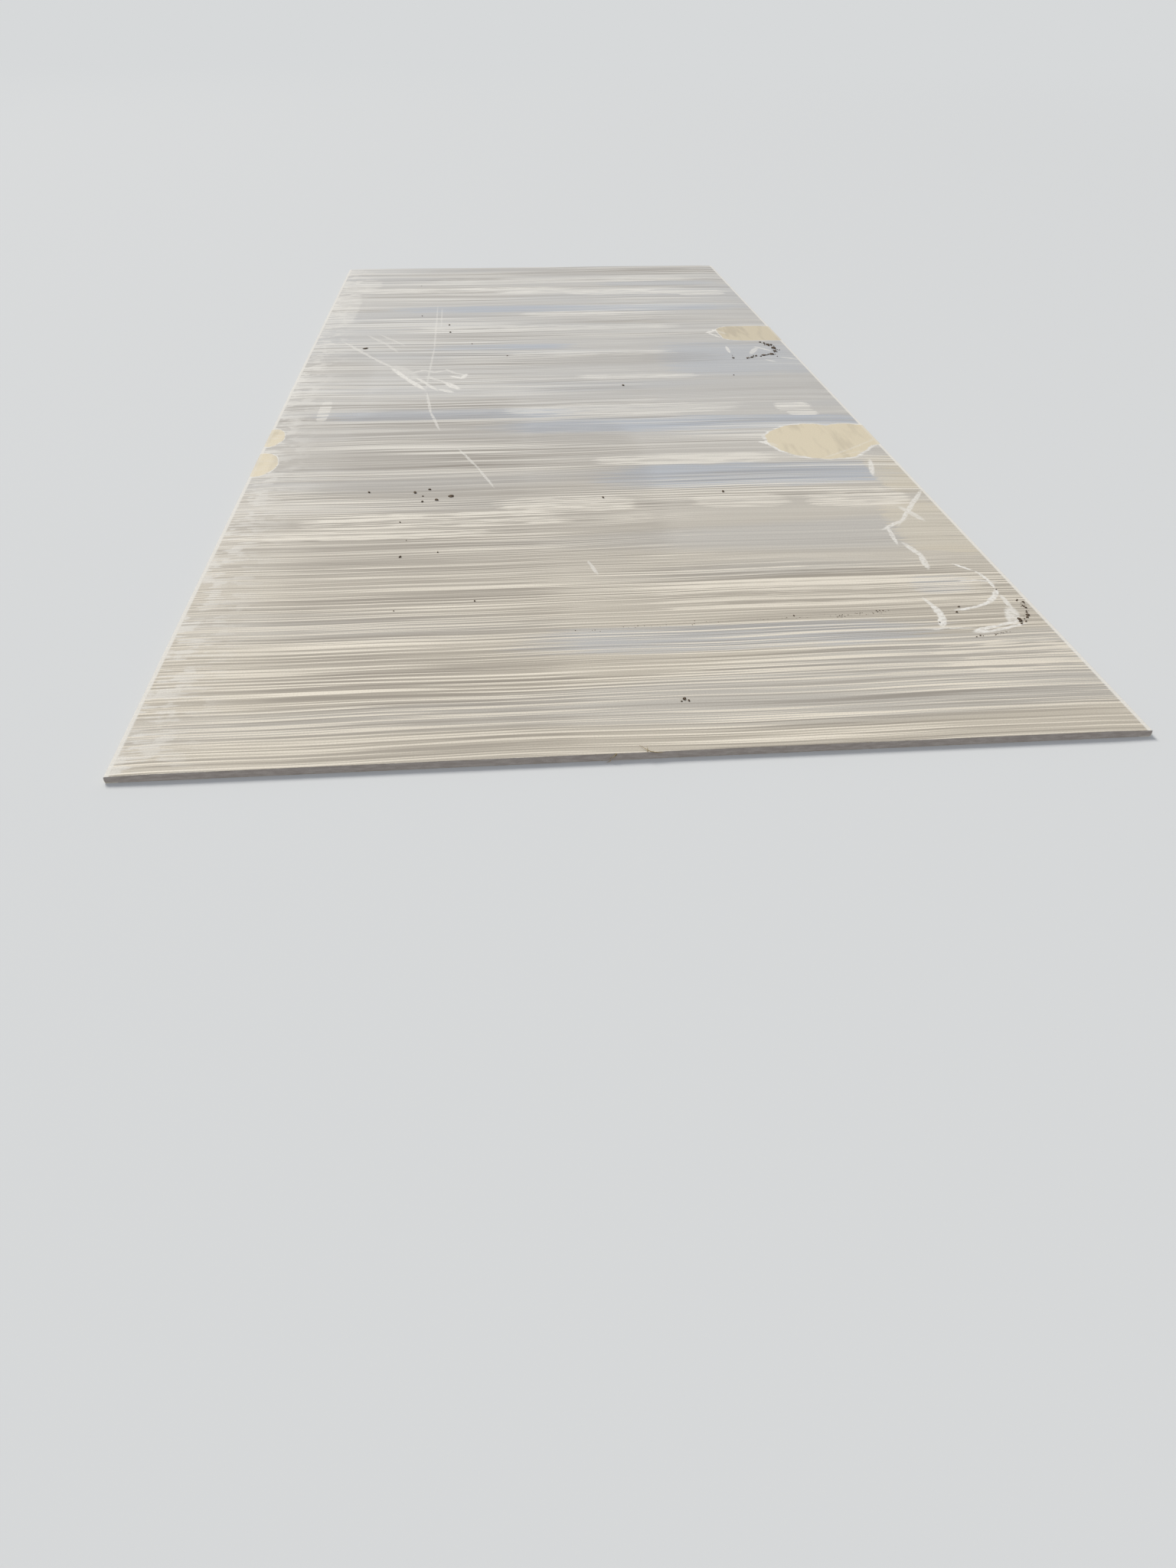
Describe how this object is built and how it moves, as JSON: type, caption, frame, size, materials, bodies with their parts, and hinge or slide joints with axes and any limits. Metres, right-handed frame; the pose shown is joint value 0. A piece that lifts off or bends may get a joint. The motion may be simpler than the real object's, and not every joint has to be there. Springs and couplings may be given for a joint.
{
  "type": "drywall sheet",
  "caption": "Flat gypsum board with ivory face paper wrapped round its tapered long edges, a brown back liner and square-cut ends.",
  "frame": {"origin": "middle of the back, on the plane that the sheet lies on", "axes": "+X across the width, +Y along the length away from the camera, +Z out of the face"},
  "size_m": [1.2, 2.7, 0.0095],
  "materials": {
    "face_paper": "matte",
    "back_paper": "matte",
    "gypsum_core": "matte",
    "soil": "matte"
  },
  "bodies": {
    "root": {"drywall_sheet": "face_paper"}
  },
  "joints": []
}
